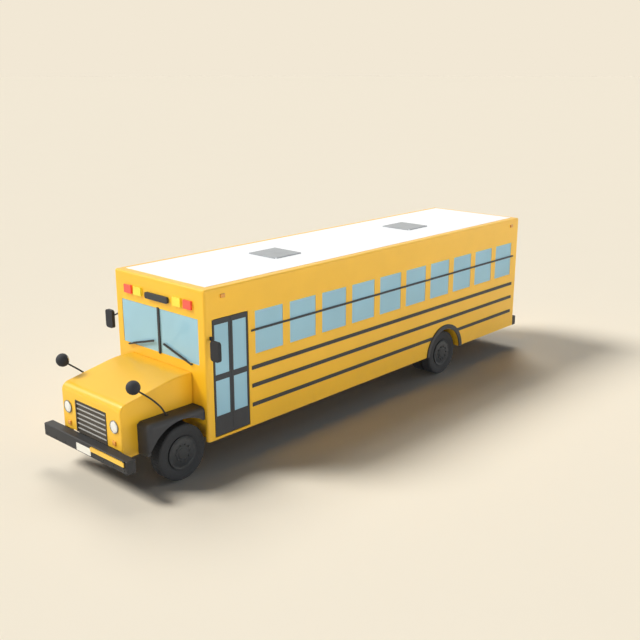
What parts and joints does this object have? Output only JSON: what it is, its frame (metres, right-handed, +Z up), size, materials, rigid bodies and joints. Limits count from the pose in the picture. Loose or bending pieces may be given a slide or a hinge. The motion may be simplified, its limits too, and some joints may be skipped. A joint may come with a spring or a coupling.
{
  "type": "conventional school bus",
  "caption": "School bus with a tilting bonnet, folding entrance door, rear door, roof hatches, swing-out arms, steered front wheels and twin rear wheels.",
  "frame": {"origin": "on the ground, in the middle of the bus's width and length", "axes": "+X towards the side with the entrance door, -Y towards the front, +Z up"},
  "size_m": [3.122, 11.504, 3.1814],
  "materials": {
    "body_yellow": "satin school bus yellow paint",
    "roof_white": "satin white paint",
    "trim_black": "satin black paint",
    "hatch_grey": "matte dark grey plastic",
    "frame_black": "matt black chassis paint",
    "axle_iron": "dark painted casting",
    "engine_grey": "dull grey casting",
    "tank_grey": "dull coated steel",
    "exhaust_steel": "heat stained steel",
    "tyre": "plain dark rubber",
    "rim_dark": "satin dark paint",
    "window_glass": "tinted pale blue glass",
    "floor_grey": "ribbed floor covering on steel",
    "seat_vinyl": "dark blue vinyl",
    "dash_dark": "matte moulded plastic",
    "wheel_plastic": "matte black plastic",
    "grille_light": "light grey slats",
    "headlamp_lens": "pale clear lens",
    "lamp_red": "red lens",
    "lamp_amber": "amber lens",
    "bumper_black": "satin black steel",
    "plate_white": "blank white plate",
    "arm_yellow": "yellow safety arm",
    "stop_red": "blank red sign face",
    "mirror_black": "matte black mirror shell"
  },
  "bodies": {
    "chassis": {"ladder_frame": "frame_black", "front_axle": "axle_iron", "rear_axle": "axle_iron", "drive_shaft": "axle_iron", "leaf_springs": "frame_black", "engine_block": "engine_grey", "fuel_tank": "tank_grey", "exhaust": "exhaust_steel", "body_floor": "floor_grey", "side_wall_left": "body_yellow", "side_wall_right": "body_yellow", "door_surround": "body_yellow", "front_wall": "body_yellow", "rear_wall": "body_yellow", "roof_shell": "body_yellow", "roof_panel": "roof_white", "body_windows": "window_glass", "windshield": "window_glass", "front_trim": "trim_black", "side_trim": "trim_black", "side_mirrors": "mirror_black", "lamps_red": "lamp_red", "lamps_amber": "lamp_amber", "front_plate": "plate_white", "bumpers": "bumper_black", "seat_cushions": "seat_vinyl", "seat_backs": "seat_vinyl", "seat_legs": "frame_black", "dashboard": "dash_dark"},
    "hood": {"hood_shell": "body_yellow", "hood_fenders": "trim_black", "grille_frame": "trim_black", "grille_slats": "grille_light", "headlamps": "headlamp_lens", "indicators": "lamp_amber", "crossover_mirrors": "mirror_black"},
    "door_front": {"door_leaf_front": "trim_black", "door_glass_front": "window_glass"},
    "door_rear": {"door_leaf_rear": "trim_black", "door_glass_rear": "window_glass"},
    "exit_door": {"exit_door": "body_yellow", "exit_door_glass": "window_glass"},
    "hatch_front": {"roof_hatch_front": "hatch_grey"},
    "hatch_rear": {"roof_hatch_rear": "hatch_grey"},
    "crossing_arm": {"crossing_arm": "arm_yellow"},
    "stop_arm": {"stop_arm": "stop_red"},
    "steering_wheel": {"steering_wheel": "wheel_plastic"},
    "knuckle_left": {"knuckle_left": "axle_iron"},
    "knuckle_right": {"knuckle_right": "axle_iron"},
    "wheel_front_left": {"tyre_front_left": "tyre", "rim_front_left": "rim_dark"},
    "wheel_front_right": {"tyre_front_right": "tyre", "rim_front_right": "rim_dark"},
    "wheels_rear_left": {"tyres_rear_left": "tyre", "rims_rear_left": "rim_dark"},
    "wheels_rear_right": {"tyres_rear_right": "tyre", "rims_rear_right": "rim_dark"}
  },
  "joints": [
    {"name": "hood_tilt", "type": "hinge", "parent": "chassis", "child": "hood", "pos_m": [0, -5.4715, 0.8], "axis": [1, 0, 0], "range_deg": [0, 60]},
    {"name": "door_front_swing", "type": "hinge", "parent": "chassis", "child": "door_front", "pos_m": [1.202, -3.9185, 1.602], "axis": [0, 0, -1], "range_deg": [0, 90]},
    {"name": "door_rear_swing", "type": "hinge", "parent": "chassis", "child": "door_rear", "pos_m": [1.202, -3.1725, 1.602], "axis": [0, 0, 1], "range_deg": [0, 90]},
    {"name": "exit_door_swing", "type": "hinge", "parent": "chassis", "child": "exit_door", "pos_m": [-0.44, 5.6155, 1.83], "axis": [0, 0, 1], "range_deg": [0, 110]},
    {"name": "hatch_front_lift", "type": "hinge", "parent": "chassis", "child": "hatch_front", "pos_m": [0, -1.6315, 3.1714], "axis": [1, 0, 0], "range_deg": [0, 80]},
    {"name": "hatch_rear_lift", "type": "hinge", "parent": "chassis", "child": "hatch_rear", "pos_m": [0, 2.4285, 3.1714], "axis": [1, 0, 0], "range_deg": [0, 80]},
    {"name": "crossing_arm_swing", "type": "hinge", "parent": "chassis", "child": "crossing_arm", "pos_m": [1.13, -5.7405, 0.6595], "axis": [0, 0, 1], "range_deg": [0, 90]},
    {"name": "stop_arm_swing", "type": "hinge", "parent": "chassis", "child": "stop_arm", "pos_m": [-1.246, -3.7715, 1.56], "axis": [0, 0, 1], "range_deg": [0, 90]},
    {"name": "steer_left", "type": "hinge", "parent": "chassis", "child": "knuckle_left", "pos_m": [0.85, -4.5785, 0.48], "axis": [0, 0, 1], "range_deg": [-35, 35]},
    {"name": "steer_right", "type": "hinge", "parent": "chassis", "child": "knuckle_right", "pos_m": [-0.85, -4.5785, 0.48], "axis": [0, 0, 1], "range_deg": [-35, 35]},
    {"name": "steering_wheel_turn", "type": "hinge", "parent": "chassis", "child": "steering_wheel", "pos_m": [-0.64, -3.7915, 1.62], "axis": [0, 0.766, 0.6428], "range_deg": [-560, 560]},
    {"name": "front_left_roll", "type": "hinge", "parent": "knuckle_left", "child": "wheel_front_left", "pos_m": [1.005, -4.5785, 0.48], "axis": [1, 0, 0], "continuous": true},
    {"name": "front_right_roll", "type": "hinge", "parent": "knuckle_right", "child": "wheel_front_right", "pos_m": [-1.005, -4.5785, 0.48], "axis": [1, 0, 0], "continuous": true},
    {"name": "rear_left_roll", "type": "hinge", "parent": "chassis", "child": "wheels_rear_left", "pos_m": [0.885, 2.7085, 0.48], "axis": [1, 0, 0], "continuous": true},
    {"name": "rear_right_roll", "type": "hinge", "parent": "chassis", "child": "wheels_rear_right", "pos_m": [-0.885, 2.7085, 0.48], "axis": [1, 0, 0], "continuous": true}
  ],
  "couplings": [
    {"joint": "steer_right", "follows": "steer_left", "ratio": 1},
    {"joint": "steering_wheel_turn", "follows": "steer_left", "ratio": 16}
  ]
}
